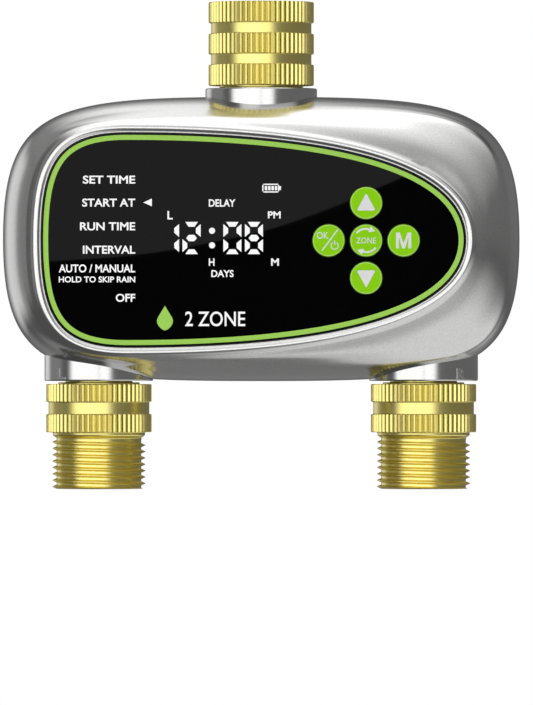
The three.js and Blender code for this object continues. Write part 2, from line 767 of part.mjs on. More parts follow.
place('inlet_nut', 'brass', inletNut());
place('inlet_tailpiece', 'brass', inletTailpiece());
place('inlet_oring', 'rubber', inletOring());
place('filter_washer', 'rubber', filterWasher());
place('filter_mesh', 'steel', filterMesh());

place('manifold', 'nylon', manifold());
for (const [name, side] of [['left', -1], ['right', 1]]) {
  const x = side * OUTLET.x;
  place(`diaphragm_${name}`, 'rubber', diaphragm(x));
  place(`poppet_${name}`, 'nylon', poppet(x));
  place(`bonnet_${name}`, 'nylon', bonnet(x));
  place(`solenoid_coil_${name}`, 'winding', solenoidCoil(x));
  place(`plunger_${name}`, 'steel', plunger(x));
  place(`plunger_spring_${name}`, 'steel', plungerSpring(x));
  place(`solenoid_lead_${name}`, 'lead', solenoidLead(side));
  place(`outlet_adapter_${name}`, 'brass', outletAdapter(x));
}

export default timer;
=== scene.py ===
"""Looks for a two-zone drip irrigation timer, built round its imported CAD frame.

Shapes are worked out in millimetres, and their meshes are made in metres in the frame's own
axes: +Z up along the inlet, the front panel towards -Y, +X to the right from the front."""

import json
import math

import bmesh
import bpy
import numpy as np
from mathutils import Matrix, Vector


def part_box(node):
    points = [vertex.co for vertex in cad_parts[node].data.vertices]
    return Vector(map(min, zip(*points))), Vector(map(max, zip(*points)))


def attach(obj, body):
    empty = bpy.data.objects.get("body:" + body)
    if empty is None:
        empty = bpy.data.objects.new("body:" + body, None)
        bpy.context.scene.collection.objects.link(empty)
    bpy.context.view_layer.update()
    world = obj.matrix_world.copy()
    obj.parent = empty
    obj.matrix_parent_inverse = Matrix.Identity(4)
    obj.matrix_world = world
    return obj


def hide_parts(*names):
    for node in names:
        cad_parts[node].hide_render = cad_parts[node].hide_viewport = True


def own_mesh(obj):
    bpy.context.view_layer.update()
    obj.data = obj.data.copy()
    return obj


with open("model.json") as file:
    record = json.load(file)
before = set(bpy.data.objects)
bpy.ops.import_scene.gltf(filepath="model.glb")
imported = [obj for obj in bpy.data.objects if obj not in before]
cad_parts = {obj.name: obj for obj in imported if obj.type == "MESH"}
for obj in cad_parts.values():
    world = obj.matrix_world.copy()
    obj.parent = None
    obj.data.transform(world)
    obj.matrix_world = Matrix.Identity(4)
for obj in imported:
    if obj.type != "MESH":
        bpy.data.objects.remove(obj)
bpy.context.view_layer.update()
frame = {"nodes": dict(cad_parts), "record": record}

MM = 0.001


def box_mm(node):
    """Lowest and highest corner of a CAD node, in millimetres."""
    low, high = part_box(node)
    return np.array(low) / MM, np.array(high) / MM


def middle(node):
    low, high = box_mm(node)
    return (low + high) / 2


def face_place(node):
    """X and Z of the middle of a node."""
    return middle(node)[[0, 2]]


# ---------------- driving dimensions

WALL = 2.4
SPLIT = 0.15  # half the gap between the two shells
CASE_Z = -67.45
CASE_HALF = (73.6, 40.5)
RING_POINTS = 320

PANEL_Z = -68
LIP_FOOT = 3.25
LIP_CROWN, LIP_TOP, LIP_RADIUS = 1.85, -26.5, 1.4

LENS_FRONT, LENS_BACK = (corner[1] for corner in box_mm("panel_lens"))
LEDGE_FRONT = -22.6
KEYS = ("up", "down", "ok", "zone", "manual")
KEY_RADIUS = 4.5
PRINT_DEPTH = 0.04

NUT_END = box_mm("inlet_nut")[0][2]
NUT_GROOVES = (-5.95, -9.05, -14.85, -17.85)
KNURL_RADIUS = 15.0
KNURL_TEETH = 60
KNURL_DEPTH = 0.5
GROOVE_RADIUS = 14.3
THREAD_MAJOR, THREAD_MINOR, THREAD_PITCH = 13.22, 12.06, 1.814
OUTLET_X = middle("outlet_adapter_right")[0]
OUTLETS = {"left": -OUTLET_X, "right": OUTLET_X}
OUTLET_END = box_mm("outlet_adapter_right")[0][2]
OUTLET_GROOVE = (-113.85, -117.35)
NECK_END = -107.9
INLET_NECK_RADIUS, OUTLET_NECK_RADIUS = 15.9, 15.5
INLET_NECK_TOP = -24.6

DOOR_LOW, DOOR_HIGH = box_mm("battery_door")
BACK = DOOR_HIGH[1]
DOOR_TOP = -38.7
DOOR_HALF = 33.0
DOOR_INNER = 28.6
DOOR_SEAT = 27.2
DOOR_SCREW_Z = middle("battery_door_screw")[2]
HINGE_Y, HINGE_Z = middle("battery_door_pin")[1:]
HINGE_KNUCKLE, HINGE_HALF, PIN_RADIUS = 1.7, 22.0, 1.0
BAY_HALF, BAY_TOP, BAY_BOTTOM, BAY_FRONT = 30.2, -39.4, -92.8, 12.7
CASE_SCREWS = ("top_left", "top_right", "bottom_left", "bottom_right")
BOSS_RADIUS, PILOT_RADIUS = 2.7, 1.6
BEFORE, BEHIND = -30, 32  # planes clear of the case, where cutting tools end


# ---------------- mesh tools

def add_object(name, mesh):
    made = bpy.data.objects.new(name, mesh)
    bpy.context.scene.collection.objects.link(made)
    return made


def mesh_object(name, points, faces):
    """An object from points in millimetres, with its faces turned outwards."""
    mesh = bpy.data.meshes.new(name)
    mesh.from_pydata((np.asarray(points, float) * MM).tolist(), [], faces)
    work = bmesh.new()
    work.from_mesh(mesh)
    bmesh.ops.recalc_face_normals(work, faces=work.faces)
    work.to_mesh(mesh)
    work.free()
    return add_object(name, mesh)


def loft(name, rings, wrap=False):
    """A closed solid through rings of points. With wrap, the last ring meets the first."""
    count = len(rings[0])
    faces = []
    for layer in range(len(rings) if wrap else len(rings) - 1):
        low = layer * count
        high = (layer + 1) % len(rings) * count
        for i in range(count):
            j = (i + 1) % count
            faces.append((low + i, low + j, high + j, high + i))
    if not wrap:
        faces.append(tuple(range(count)))
        faces.append(tuple(range((len(rings) - 1) * count, len(rings) * count)))
    return mesh_object(name, np.concatenate(rings), faces)


def turned(name, profile, centre=(0, 0), axis="Z", sides=96, closed=False, limit=None,
           soft=0, steps=4):
    """A solid of revolution from (radius, height) pairs.

    limit caps the radius at each side, and soft rounds the corners of the profile."""
    if soft:
        profile = rounded(profile, soft, steps, closed)
    angle = np.linspace(0, 2 * math.pi, sides, endpoint=False)
    order = {"X": (2, 0, 1), "Y": (0, 2, 1), "Z": (0, 1, 2)}[axis]
    rings = []
    for radius, height in profile:
        reach = np.full(sides, float(radius))
        if limit is not None:
            reach = np.minimum(reach, limit)
        across = reach * np.cos(angle) + centre[0]
        along = reach * np.sin(angle) + centre[1]
        columns = (across, along, np.full(sides, float(height)))
        rings.append(np.stack([columns[k] for k in order], axis=1))
    return loft(name, rings, wrap=closed)


def rod(radius, low, high, centre=(0, 0), axis="Z", sides=64):
    return turned("rod", [(radius, low), (radius, high)], centre, axis, sides)


def block(x, y, z):
    corners = [(x[i], y[j], z[k]) for k in (0, 1) for i, j in ((0, 0), (1, 0), (1, 1), (0, 1))]
    return loft("block", [np.array(corners[:4], float), np.array(corners[4:], float)])


def rounded(corners, radius, steps=4, closed=True):
    """An outline whose corners are each turned into a small curve."""
    corners = [np.array(corner, float) for corner in corners]
    made = []
    for i, corner in enumerate(corners):
        if not closed and i in (0, len(corners) - 1):
            made.append(corner)
            continue
        ways = [corners[i - 1] - corner, corners[(i + 1) % len(corners)] - corner]
        lengths = [np.linalg.norm(way) for way in ways]
        reach = min(radius, 0.45 * min(lengths))
        start, end = (corner + way / length * reach for way, length in zip(ways, lengths))
        for t in np.linspace(0, 1, steps + 1):
            made.append((1 - t) ** 2 * start + 2 * t * (1 - t) * corner + t**2 * end)
    return made


def rectangle(half_width, bottom, top, radius, steps=8):
    corners = [(half_width, bottom), (half_width, top), (-half_width, top), (-half_width, bottom)]
    return np.array(rounded(corners, radius, steps))


def level(points, y):
    """A flat outline in X and Z, stood at one Y."""
    return np.insert(np.asarray(points, float), 1, y, axis=1)


def plate(name, points, y_low, y_high):
    return loft(name, [level(points, y_low), level(points, y_high)])


def quarter_round(radius):
    """Inset and rise at steps of a rounded edge, from its side to its face."""
    angle = np.linspace(0, math.pi / 2, 6)
    return zip(radius * (1 - np.cos(angle)), radius * np.sin(angle))


def swept(name, path, radius, sides):
    """A round wire along a path of points."""
    path = np.asarray(path, float)
    tangent = np.gradient(path, axis=0)
    tangent /= np.linalg.norm(tangent, axis=1)[:, None]
    side = np.cross(tangent[0], (0.3, 0.5, 0.81))
    angle = np.linspace(0, 2 * math.pi, sides, endpoint=False)[:, None]
    rings = []
    for point, direction in zip(path, tangent):
        side = side - direction * np.dot(side, direction)
        side /= np.linalg.norm(side)
        other = np.cross(direction, side)
        rings.append(point + radius * (np.cos(angle) * side + np.sin(angle) * other))
    return loft(name, rings)


def evaluated_mesh(target):
    graph = bpy.context.evaluated_depsgraph_get()
    return bpy.data.meshes.new_from_object(target.evaluated_get(graph))


def bake(target):
    """Applies the modifiers of an object."""
    mesh = evaluated_mesh(target)
    target.modifiers.clear()
    target.data = mesh


def combine(target, operation, tools):
    """Joins, cuts or intersects an object with each of the tools, which are used up."""
    for tool in tools:
        step = target.modifiers.new("combine", "BOOLEAN")
        step.operation = operation
        step.solver = "MANIFOLD"
        step.object = tool
    bake(target)
    for tool in tools:
        bpy.data.objects.remove(tool)
    return target


def merged(name, objects):
    """One object holding the meshes of several, which are used up."""
    work = bmesh.new()
    for part in objects:
        work.from_mesh(part.data)
        bpy.data.objects.remove(part)
    mesh = bpy.data.meshes.new(name)
    work.to_mesh(mesh)
    work.free()
    return add_object(name, mesh)


def piece(made, body, slot, nodes=(), crease=35, look=None):
    """Gives a finished shape its look, its smooth shading and its place in the frame."""
    made.data.materials.clear()
    made.data.materials.append(LOOKS[look or slot])
    made.data.shade_smooth()
    made.data.set_sharp_from_angle(angle=math.radians(crease))
    weights = made.modifiers.new("weights", "WEIGHTED_NORMAL")
    weights.keep_sharp = True
    bake(made)
    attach(made, body)
    if nodes:
        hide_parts(*nodes)
    return made


# ---------------- outlines and shell rings

def outline(middle_z, upper):
    """Points along a closed chain of cubic curves. Its lower half mirrors the upper one.

    The controls are a point on the curve, two handles, the next point, and so on."""
    lower = [(x, -z) for x, z in upper[-2:0:-1]]
    controls = np.array(upper + lower, float) + (0, middle_z)
    t = np.linspace(0, 1, 120, endpoint=False)[:, None]
    stretches = []
    for i in range(0, len(controls), 3):
        a, b, c = controls[i:i + 3]
        d = controls[(i + 3) % len(controls)]
        stretches.append((1 - t)**3 * a + 3 * (1 - t)**2 * t * b + 3 * (1 - t) * t**2 * c + t**3 * d)
    return np.concatenate(stretches)


def case_outline():
    a, b = CASE_HALF
    return outline(CASE_Z, [
        (a, 0), (a, 0.955 * b), (0.795 * a, b), (0, b), (-0.795 * a, b), (-a, 0.955 * b), (-a, 0),
    ])


def panel_outline():
    """A teardrop with its blunt end on the left."""
    crown, half, right, left = -38, 29.9, 57.4, -61.8
    return outline(PANEL_Z, [
        (right, 0), (right, 18.3), (crown + 66.4, half), (crown, half),
        (crown - 19.2, half), (left, 21.6), (left, 0),
    ])


CASE = case_outline()
PANEL = panel_outline()


def ring(curve, offset, y):
    """An outline moved outwards and sampled on rays from the case's centre, at one Y."""
    tangent = np.roll(curve, -1, axis=0) - np.roll(curve, 1, axis=0)
    normal = np.stack([tangent[:, 1], -tangent[:, 0]], axis=1)
    normal /= np.linalg.norm(normal, axis=1)[:, None]
    moved = curve + normal * offset
    angle = np.arctan2((moved[:, 1] - CASE_Z) / CASE_HALF[1], moved[:, 0] / CASE_HALF[0])
    wanted = np.linspace(0, 2 * math.pi, RING_POINTS, endpoint=False)
    columns = [np.interp(wanted, angle, values, period=2 * math.pi) for values in moved.T]
    return level(np.stack(columns, axis=1), y)


def case_rings(*rows):
    """Rings of the case's outline, from pairs of offset and Y."""
    return [ring(CASE, offset, y) for offset, y in rows]


def between(first, second, share, y):
    """A ring part of the way from one ring to another, at its own Y."""
    made = first + (second - first) * share
    made[:, 1] = y
    return made


def smooth(rings, steps=6):
    """The rings, with more of them on a smooth curve in between."""
    rings = np.array(rings)
    gaps = np.linalg.norm(np.diff(rings, axis=0), axis=2).mean(axis=1)
    place = np.concatenate([[0], np.cumsum(gaps)])
    slope = np.gradient(rings, place, axis=0)
    made = []
    for i, gap in enumerate(gaps):
        for t in np.linspace(0, 1, steps, endpoint=False):
            made.append(
                (2 * t**3 - 3 * t**2 + 1) * rings[i]
                + (t**3 - 2 * t**2 + t) * gap * slope[i]
                + (3 * t**2 - 2 * t**3) * rings[i + 1]
                + (t**3 - t**2) * gap * slope[i + 1]
            )
    return made + [rings[-1]]


# ---------------- materials

class Graph:
    """Helpers that add nodes to the tree of a material or a world."""

    def __init__(self, holder):
        holder.use_nodes = True
        self.nodes = holder.node_tree.nodes
        self.links = holder.node_tree.links

    def put(self, value, socket):
        """Links a socket to another one, or sets it to a plain value."""
        if isinstance(value, bpy.types.NodeSocket):
            self.links.new(value, socket)
        else:
            socket.default_value = value

    def feed(self, node, **values):
        for name, value in values.items():
            self.put(value, node.inputs[name.replace("_", " ")])
        return node

    def add(self, kind, **values):
        return self.feed(self.nodes.new("ShaderNode" + kind), **values)

    def math(self, operation, *values):
        """The result of a sum on sockets and plain numbers."""
        node = self.add("Math")
        node.operation = operation
        for value, socket in zip(values, node.inputs):
            self.put(value, socket)
        return node.outputs[0]

    def distance(self, value, place):
        return self.math("ABSOLUTE", self.math("SUBTRACT", value, place))

    def split(self, vector):
        return self.add("SeparateXYZ", Vector=vector).outputs

    def mapped(self, value, low, high, start=0.3, end=0.7, kind="LINEAR"):
        """Runs from low to high as the value runs from start to end."""
        node = self.add("MapRange", Value=value, From_Min=start, From_Max=end)
        node.interpolation_type = kind
        return self.feed(node, To_Min=low, To_Max=high).outputs["Result"]


class Look(Graph):
    """A Principled material with helpers for procedural colour, roughness and bump."""

    def __init__(self, name, colour, **values):
        self.material = bpy.data.materials.new(name)
        super().__init__(self.material)
        self.colour = (*colour, 1.0)
        self.shader = self.nodes["Principled BSDF"]
        self.feed(self.shader, Base_Color=self.colour, **values)
        self.place = self.add("TexCoord").outputs["Object"]

    def stretched(self, factors):
        return self.add("Mapping", Scale=factors, Vector=self.place).outputs["Vector"]

    def noise(self, scale, detail=3.0, vector=None):
        vector = vector or self.place
        return self.add("TexNoise", Scale=scale, Detail=detail, Vector=vector).outputs["Fac"]

    def vary_roughness(self, value, low, high):
        self.feed(self.shader, Roughness=self.mapped(value, low, high))

    def shade(self, factor):
        """The base colour made darker or lighter."""
        return (*[min(1.0, channel * factor) for channel in self.colour[:3]], 1.0)

    def tint(self, value, low, high):
        """Mixes the base colour from low to high as the value rises from 0 to 1."""
        node = self.add("Mix")
        node.data_type = "RGBA"
        for place, source in ((0, value), (6, low), (7, high)):
            self.put(source, node.inputs[place])
        self.feed(self.shader, Base_Color=node.outputs[2])

    def vary_colour(self, value, darker, lighter=1.0):
        """Scales the base colour from darker to lighter as the value rises."""
        self.tint(self.mapped(value, 0.0, 1.0), self.shade(darker), self.shade(lighter))

    def bump(self, value, height):
        """Raises the surface by the value, with the height in millimetres."""
        node = self.add("Bump", Strength=1.0, Distance=height * MM, Height=value)
        self.feed(self.shader, Normal=node.outputs["Normal"])


def silver_paint():
    """Satin silver lacquer with fine metal flake."""
    look = Look("silver_paint", (0.63, 0.63, 0.625), Metallic=1.0, Roughness=0.19)
    look.vary_colour(look.noise(2400, detail=2.0), 0.94, 1.06)
    look.vary_roughness(look.noise(700), 0.175, 0.205)
    look.bump(look.noise(1500, detail=2.0), 0.0003)
    return look.material


def brass():
    """Turned brass, with painted shade that darkens the roots of the knurls."""
    look = Look("bright_brass", (0.87, 0.76, 0.26), Metallic=1.0, Roughness=0.32)
    turning = look.noise(220, detail=4.0, vector=look.stretched((1, 1, 14)))
    x, y, _ = look.split(look.place)
    side = look.math("ABSOLUTE", x)
    across = look.math("MINIMUM", side, look.distance(side, OUTLET_X * MM))
    squares = [look.math("MULTIPLY", value, value) for value in (across, y)]
    radius = look.math("SQRT", look.math("ADD", *squares))
    # Painted shade: the colour drops to 0.3 of the base at the radius of the knurl roots and rises
    # back over 0.12 mm.
    root = KNURL_RADIUS - KNURL_DEPTH + 0.02
    height = look.distance(radius, root * MM)
    painted_shade_depth = 0.12 * MM
    look.tint(look.mapped(height, 0.0, 1.0, 0.0, painted_shade_depth), look.shade(0.3), look.colour)
    look.vary_roughness(turning, 0.28, 0.35)
    look.bump(turning, 0.001)
    return look.material


def black_panel():
    """Gloss black acrylic with faint differences in its polish."""
    look = Look("black_panel", (0.0015, 0.0015, 0.0017), Roughness=0.01, IOR=1.49)
    look.vary_roughness(look.noise(60), 0.006, 0.012)
    return look.material


def moulded(name, colour, low, high, grain, depth, **sockets):
    """Plastic or rubber with a fine moulded grain."""
    look = Look(name, colour, Roughness=low, **sockets)
    look.vary_colour(look.noise(grain / 8), 0.93, 1.03)
    look.vary_roughness(look.noise(grain / 3), low, high)
    look.bump(look.noise(grain, detail=2.0), depth)
    return look.material


def key_plastic():
    """Moulded green, with a painted highlight that makes it paler where a key's edge rounds over."""
    look = Look("key_green", (0.24, 0.60, 0.005), Specular_IOR_Level=0.05)
    # Painted highlight: the colour pales as the surface turns away from the front.
    normal = look.add("NewGeometry").outputs["Normal"]
    painted_highlight_facing = look.math("ABSOLUTE", look.split(normal)[1])
    look.tint(look.mapped(painted_highlight_facing, 0.0, 1.0, 0.9, 0.99), (0.42, 0.74, 0.13, 1.0), look.colour)
    look.vary_roughness(look.noise(530), 0.36, 0.46)
    look.bump(look.noise(1600, detail=2.0), 0.002)
    return look.material


def metal(name, colour, low, high, stretch, scale=500):
    """Bare metal with brushed or drawn marks."""
    look = Look(name, colour, Metallic=1.0, Roughness=low)
    marks = look.noise(scale, detail=3.0, vector=look.stretched(stretch))
    look.vary_colour(marks, 0.88, 1.04)
    look.vary_roughness(marks, low, high)
    look.bump(marks, 0.002)
    return look.material


def printed(name, colour, darker):
    """A flat ink layer with faint unevenness."""
    look = Look(name, colour, Roughness=0.4)
    look.vary_colour(look.noise(1400, detail=2.0), darker, 1.0)
    return look.material


def wound_wire():
    """Enamelled copper wire, layer on layer, under a clear tape."""
    look = Look("coil_winding", (0.35, 0.10, 0.04), Metallic=0.6, Roughness=0.35)
    wave = look.add("TexWave", Scale=900, Vector=look.place)
    wave.bands_direction = "Z"
    # Painted shade and painted highlight: darker in the grooves between turns, lighter on their
    # crests.
    look.vary_colour(wave.outputs["Fac"], 0.45, 1.2)
    look.bump(wave.outputs["Fac"], 0.05)
    return look.material


def board_laminate():
    look = Look("board_laminate", (0.012, 0.10, 0.035), Roughness=0.3, Coat_Weight=0.3)
    tracks = look.add("TexBrick", Scale=90, Mortar_Size=0.03, Vector=look.place)
    look.vary_colour(tracks.outputs["Fac"], 0.8, 1.8)
    return look.material


LOOKS = {
    "silver_shell": silver_paint(),
    "brass": brass(),
    "panel_black": black_panel(),
    "key_green": key_plastic(),
    "trim_green": printed("trim_green", (0.32, 0.63, 0.06), 0.94),
    "print_white": printed("print_white", (0.99, 0.99, 0.99), 0.97),
    "letter_silver": metal("letter_silver", (0.6, 0.6, 0.6), 0.45, 0.55, (1, 1, 1)),
    "print_grey": printed("print_grey", (0.72, 0.71, 0.72), 0.92),
    "black_rubber": moulded("black_rubber", (0.012, 0.012, 0.012), 0.62, 0.8, 900, 0.015),
    "screw_steel": metal("screw_steel", (0.56, 0.56, 0.57), 0.22, 0.38, (1, 8, 1)),
    "switch_metal": metal("switch_metal", (0.62, 0.62, 0.60), 0.25, 0.4, (6, 1, 1)),
    "contact_nickel": metal("contact_nickel", (0.66, 0.63, 0.58), 0.2, 0.34, (6, 1, 1)),
    "mesh_steel": metal("mesh_steel", (0.72, 0.73, 0.75), 0.14, 0.26, (2, 2, 2), 1500),
    "display_glass": moulded("display_glass", (0.02, 0.024, 0.02), 0.08, 0.16, 300, 0.001),
    "board_green": board_laminate(),
    "cell_jacket": moulded("cell_jacket", (0.035, 0.055, 0.10), 0.25, 0.36, 500, 0.003, Metallic=0.4),
    "valve_nylon": moulded("valve_nylon", (0.62, 0.62, 0.58), 0.42, 0.58, 700, 0.01),
    "coil_winding": wound_wire(),
    "lead_pvc": moulded("lead_pvc", (0.35, 0.012, 0.01), 0.36, 0.5, 900, 0.004),
}


def finish_cad_nodes():
    """Every CAD node takes the look of its slot. Finer pieces replace most of them later."""
    for entry in frame["record"]["materials"]:
        for node in entry.get("nodes", []):
            target = frame["nodes"][node]
            target.data.materials.clear()
            target.data.materials.append(LOOKS[entry["slot"]])


# ---------------- case

def lip_rings():
    """A rounded bead, from its outer side over the crown to its inner edge."""
    made = []
    for tilt in np.radians(np.linspace(42, -40, 12)):
        offset = LIP_CROWN + LIP_RADIUS * math.sin(tilt)
        made.append(ring(PANEL, offset, LIP_TOP + LIP_RADIUS * (1 - math.cos(tilt))))
    return made + [ring(PANEL, 0.92, -25.3)]


def front_outside():
    """A wall that rounds over into a dome, and a raised lip round the panel."""
    shoulder = ring(CASE, -3.5, -18.5)
    foot = ring(PANEL, LIP_FOOT, LIP_TOP + 0.9)
    dome = smooth([
        *case_rings((0, -SPLIT), (-0.25, -5), (-0.9, -10), (-2.15, -15)),
        shoulder,
        between(shoulder, foot, 0.3, -21.5),
        between(shoulder, foot, 0.65, -24.2),
        foot,
    ])
    return loft("front_case", dome + lip_rings())


def front_inside():
    inner = ring(CASE, -6.6, -16.5)
    ceiling = ring(PANEL, 3.6, -21)
    return loft("inside", smooth([
        *case_rings((-WALL, 1), (-0.35 - WALL, -6), (-1.4 - WALL, -12)),
        inner,
        between(inner, ceiling, 0.5, -19.2),
        ceiling,
    ], 4))


def screw_rods(radius, low, high, sides=48):
    """A rod on the line of each case screw."""
    places = [face_place(f"housing_screw_{name}") for name in CASE_SCREWS]
    return [rod(radius, low, high, place, "Y", sides) for place in places]


def neck_notches():
    """Room for the three necks in the front shell and in the rear shell's tongue."""
    gap = 0.3
    notches = [rod(INLET_NECK_RADIUS + gap, -38, -20, sides=128)]
    for x in OUTLETS.values():
        notches.append(rod(OUTLET_NECK_RADIUS + gap, -112, -92, (x, 0), sides=128))
    return notches


def front_case():
    """A shell with screw bosses, cut for the lens, the display and the necks."""
    hull = front_outside()
    shell = combine(front_outside(), "DIFFERENCE", [front_inside()])
    bosses = merged("bosses", screw_rods(BOSS_RADIUS, -22, -SPLIT, 32))
    combine(bosses, "INTERSECT", [hull])
    shell.name = "front_case"
    combine(shell, "UNION", [bosses])
    combine(shell, "DIFFERENCE", [
        loft("rebate", case_rings((-1.3, 1), (-1.4, -1.8))),
        *screw_rods(PILOT_RADIUS, -14, 1, 32),
        loft("pocket", [ring(PANEL, 0.9, BEFORE), ring(PANEL, 0.9, LEDGE_FRONT)]),
        loft("opening", [ring(PANEL, -2.6, BEFORE), ring(PANEL, -2.6, -15)]),
        *neck_notches(),
    ])
    piece(shell, "housing", "silver_shell", ["front_cover"])


def rear_outside():
    return loft("rear_case", smooth(case_rings(
        (-6.2, BACK), (-5.4, BACK - 0.25), (-4.5, 30), (-3.4, 28.3), (-2.2, 25),
        (-1, 20), (-0.3, 12), (0, 4), (0, SPLIT),
    )))


def rear_inside():
    return loft("inside", smooth(case_rings(
        (-8.2, BACK - WALL), (-6.4, 27), (-4.9, 23.5), (-0.3 - WALL, 12), (-WALL, -2),
    ), 4))


def neck(x, radius, low, high):
    profile = [(0.1, low), (radius, low), (radius, high), (0.1, high)]
    return turned("neck", profile, (x, 0), sides=128, soft=0.5)


def rear_fittings():
    """Door frame, battery box and screw bosses."""
    side = BAY_HALF + 1.4
    wall = 1.3
    return [
        block((-35, 35), (DOOR_SEAT - wall, BACK), (-103.5, -31.5)),
        block((-side, side), (BAY_FRONT - wall, DOOR_SEAT), (BAY_BOTTOM - 1.2, BAY_TOP + 1.2)),
        rod(3.8, 20, DOOR_SEAT, (0, DOOR_SCREW_Z), "Y", 48),
        *screw_rods(3.9, 5.5, 30),
        *screw_rods(BOSS_RADIUS, SPLIT, 6),
    ]


def door_openings():
    """The door's pocket, the battery bay, and room for the hinge, its pin, a screw and a lead."""
    gap = 0.4
    slot = HINGE_HALF + gap
    pocket = rectangle(DOOR_HALF + gap, DOOR_LOW[2] - gap, DOOR_TOP + 0.8, 3.4)
    bay = rectangle(BAY_HALF, BAY_BOTTOM, BAY_TOP, 0.8)
    hinge = (HINGE_Y, HINGE_Z)
    return [
        plate("pocket", pocket, DOOR_SEAT, BEHIND),
        plate("bay", bay, BAY_FRONT, BEHIND),
        rod(HINGE_KNUCKLE + 0.6, -slot, slot, hinge, "X"),
        block((-slot, slot), (DOOR_SEAT, BEHIND), (-38.5, HINGE_Z)),
        block((-slot, slot), (HINGE_Y, BEHIND), (-38.5, -32.9)),
        rod(PIN_RADIUS, -27.3, 27.3, hinge, "X"),
        rod(2.4, 21, 28, (0, DOOR_SCREW_Z), "Y", 48),
        rod(2.0, 10, 14, (-14.9, -46), "Y", 32),
    ]


def water_openings():
    """Sockets and bores for the tailpiece and the two outlet fittings."""
    openings = [rod(13.5, -32, -27), rod(10.9, -28, -24)]
    for x in OUTLETS.values():
        openings += [rod(13, -106.3, -97, (x, 0)), rod(9.9, -109, -106, (x, 0))]
    return openings


def rear_case():
    """A shell with three necks, the battery box and a tongue that fits the front shell."""
    hull = rear_outside()
    fittings = rear_fittings()
    inner = fittings[0]
    combine(inner, "UNION", fittings[1:])
    combine(inner, "INTERSECT", [hull])
    shell = combine(rear_outside(), "DIFFERENCE", [rear_inside()])
    tongue = loft("tongue", case_rings((-1.45, 3), (-1.5, -1.5)))
    combine(tongue, "DIFFERENCE", [loft("inside", case_rings((-WALL, 4), (-WALL, -3)))])
    combine(tongue, "DIFFERENCE", neck_notches())
    necks = [neck(0, INLET_NECK_RADIUS, -31, INLET_NECK_TOP)]
    necks += [neck(x, OUTLET_NECK_RADIUS, NECK_END, -98) for x in OUTLETS.values()]
    combine(shell, "UNION", [inner, tongue, *necks])
    screw_holes = screw_rods(2.9, 8.5, BEHIND) + screw_rods(PILOT_RADIUS, -1, 9)
    combine(shell, "DIFFERENCE", door_openings() + water_openings() + screw_holes)
    piece(shell, "housing", "silver_shell", ["rear_cover"])


# ---------------- letters and signs

def text_shape(text, weight):
    """The points and faces of extruded letters, fitted into a unit box."""
    curve = bpy.data.curves.new("text", "FONT")
    curve.body = text
    curve.offset = weight
    curve.extrude = 0.5
    curve.resolution_u = 4
    holder = add_object("text", curve)
    mesh = evaluated_mesh(holder)
    bpy.data.objects.remove(holder)
    points = np.array([vertex.co for vertex in mesh.vertices])
    faces = [tuple(polygon.vertices) for polygon in mesh.polygons]
    low, high = points.min(axis=0), points.max(axis=0)
    return (points - low) / (high - low), faces


def letters(text, left, right, bottom, top, front, weight=0.022):
    """Upright letters that fill the box between their limits in X and Z."""
    points, faces = text_shape(text, weight)
    across = left + (right - left) * points[:, 0]
    up = bottom + (top - bottom) * points[:, 1]
    forward = front + PRINT_DEPTH * (1 - points[:, 2])
    return mesh_object("letters", np.stack([across, forward, up], axis=1), faces)


def sign(points, front):
    return plate("sign", points, front, front + PRINT_DEPTH)


def arc_points(centre, radius, start, end, steps=20):
    angle = np.radians(np.linspace(start, end, steps))
    return list(zip(centre[0] + radius * np.cos(angle), centre[1] + radius * np.sin(angle)))


def arc_band(centre, inner, outer, start, end):
    return arc_points(centre, outer, start, end) + arc_points(centre, inner, end, start)


DIGIT_SEGMENTS = {"0": "abcdef", "1": "bc", "2": "abged", "8": "abcdefg"}


def digit_signs(digit, left, right, front):
    """The lit bars of one seven-segment digit, each mirrored into its place."""
    x, z = (left + right) / 2, (DIGIT_TOP + DIGIT_BOTTOM) / 2
    half, tall = (right - left) / 2, (DIGIT_TOP - DIGIT_BOTTOM) / 2
    thick, slant, length = 1.36, 1.175, 3.65
    start = tall - 0.6
    end = start - length
    cap = [(-0.68 * half, tall), (0.68 * half, tall),
           (0.33 * half, tall - thick), (-0.33 * half, tall - thick)]
    post = [(half, start), (half, end), (half - thick, end + slant), (half - thick, start - slant)]
    waist = [(-1.5, 0), (-0.78, 0.9), (0.78, 0.9), (1.5, 0), (0.78, -0.9), (-0.78, -0.9)]
    bars = {
        "a": (cap, 1, 1), "d": (cap, 1, -1), "g": (waist, 1, 1),
        "b": (post, 1, 1), "c": (post, 1, -1), "f": (post, -1, 1), "e": (post, -1, -1),
    }
    made = []
    for name in DIGIT_SEGMENTS[digit]:
        shape, across, up = bars[name]
        made.append(sign([(x + u * across, z + v * up) for u, v in shape], front))
    return made


LEGENDS = [
    # words, left, right, bottom, top
    ("SET TIME", -50.4, -35.6, -52.1, -49.8),
    ("START AT", -50.6, -35.6, -58.6, -56.3),
    ("RUN TIME", -51.2, -35.6, -65.3, -63.0),
    ("INTERVAL", -50.4, -35.6, -71.9, -69.6),
    ("AUTO / MANUAL", -57.2, -35.6, -77.2, -74.9),
    ("HOLD TO SKIP RAIN", -57.2, -35.6, -80.0, -78.3),
    ("OFF", -41.1, -35.6, -85.5, -83.2),
]
DISPLAY_WORDS = [
    ("DELAY", -14.8, -7.3, -58.6, -56.5),
    ("L", -26.5, -25.0, -62.2, -59.8),
    ("PM", 1.9, 5.5, -61.9, -59.9),
    ("H", -14.8, -13.2, -75.3, -73.2),
    ("M", 2.8, 5.0, -75.3, -73.2),
    ("DAYS", -14.1, -7.8, -78.5, -76.5),
]
DIGITS = [("1", -28.35, -23.2), ("2", -22.25, -17.1), ("0", -10.7, -5.6), ("8", -4.6, 0.5)]
DIGIT_BOTTOM, DIGIT_TOP = -72.0, -62.9


